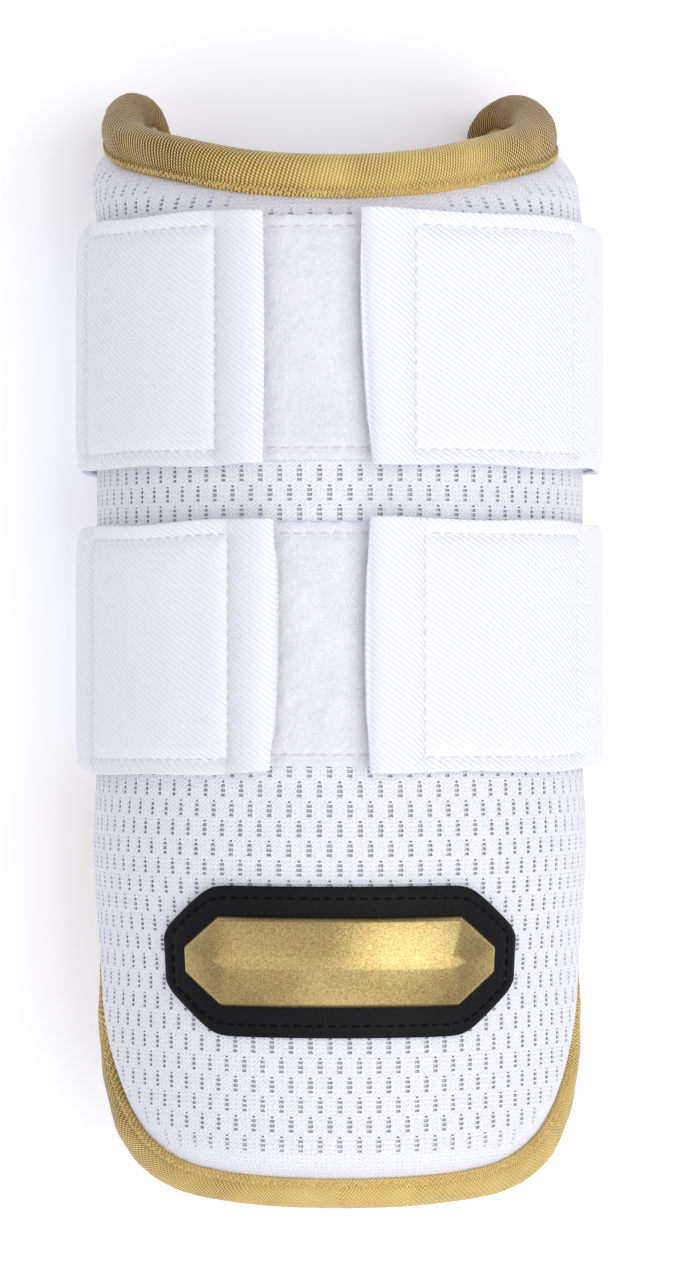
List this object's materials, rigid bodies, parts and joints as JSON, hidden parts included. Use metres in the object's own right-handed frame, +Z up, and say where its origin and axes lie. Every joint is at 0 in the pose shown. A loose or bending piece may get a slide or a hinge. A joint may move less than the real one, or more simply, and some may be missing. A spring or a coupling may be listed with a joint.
{
  "type": "elbow guard",
  "caption": "Padded C-shaped elbow guard for a batter, mesh-covered and bound in gold tape, with wide elastic straps that close on loop strips across its front and a raised badge.",
  "frame": {"origin": "on the ground under the middle of the guard's box, as it lies on the backs of its straps", "axes": "+Z up, out of the guard's front; +Y along the arm towards the dipped top rim; +X to the right of the front"},
  "size_m": [0.1092, 0.2282, 0.0886],
  "materials": {
    "mesh": "white knitted spacer mesh over foam",
    "binding": "gold woven binding tape",
    "loop": "white brushed loop pile",
    "elastic": "white twill elastic",
    "hook": "white nylon hook tape",
    "patch": "black synthetic leather",
    "plate": "satin gold moulding"
  },
  "bodies": {
    "root": {"padded_shell": "mesh", "edge_binding": "binding", "loop_strip_upper": "loop", "loop_strip_lower": "loop", "strap_upper": "elastic", "strap_lower": "elastic", "hook_pad_upper_left": "hook", "hook_pad_upper_right": "hook", "hook_pad_lower_left": "hook", "hook_pad_lower_right": "hook", "badge_patch": "patch", "badge_plate": "plate"}
  },
  "joints": []
}
